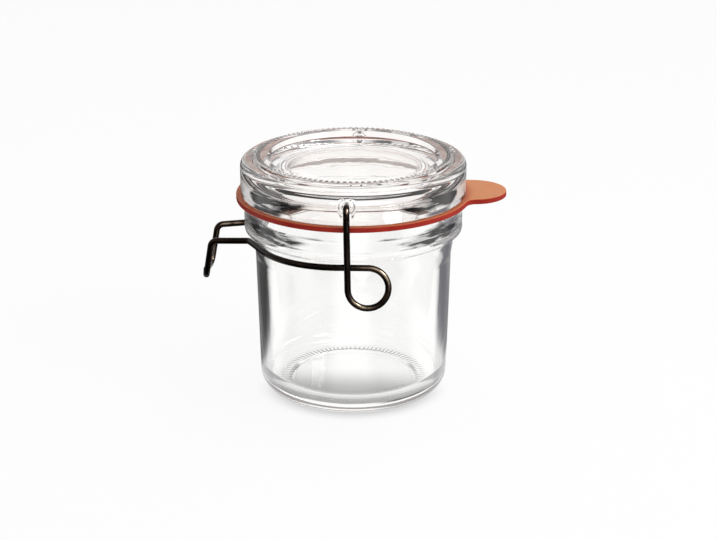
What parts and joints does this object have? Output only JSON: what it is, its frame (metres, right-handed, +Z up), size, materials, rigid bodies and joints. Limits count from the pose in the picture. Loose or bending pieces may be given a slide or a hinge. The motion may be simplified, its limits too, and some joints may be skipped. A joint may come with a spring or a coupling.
{
  "type": "jam pot",
  "caption": "Cylindrical glass jam pot with a thick glass lid, a rubber sealing ring with a pull tab and a bent wire clip that hinges on the lid and hooks under the jar's collar.",
  "frame": {"origin": "centre of the jar's base, on the surface it stands on", "axes": "+Z up the jar's axis, -Y towards the clip's handle, +Y towards the ring's pull tab, X along the clip's hinge axis"},
  "size_m": [0.09, 0.1107, 0.0893],
  "materials": {
    "jar_glass": "clear soda-lime glass, fire polished",
    "lid_glass": "clear soda-lime glass, pressed",
    "seal_rubber": "satin natural rubber, orange red",
    "clip_wire": "steel spring wire with a dark bronze finish"
  },
  "bodies": {
    "jar": {"jar": "jar_glass"},
    "lid": {"lid": "lid_glass", "seal_ring": "seal_rubber"},
    "clip": {"wire_clip": "clip_wire"}
  },
  "joints": [
    {"name": "lid_lift", "type": "slide", "parent": "jar", "child": "lid", "axis": [0, 0, 1], "range_m": [0, 0.06]},
    {"name": "clip_swing", "type": "hinge", "parent": "lid", "child": "clip", "pos_m": [0, 0, 0.082], "axis": [-1, 0, 0], "range_deg": [0, 205]}
  ]
}
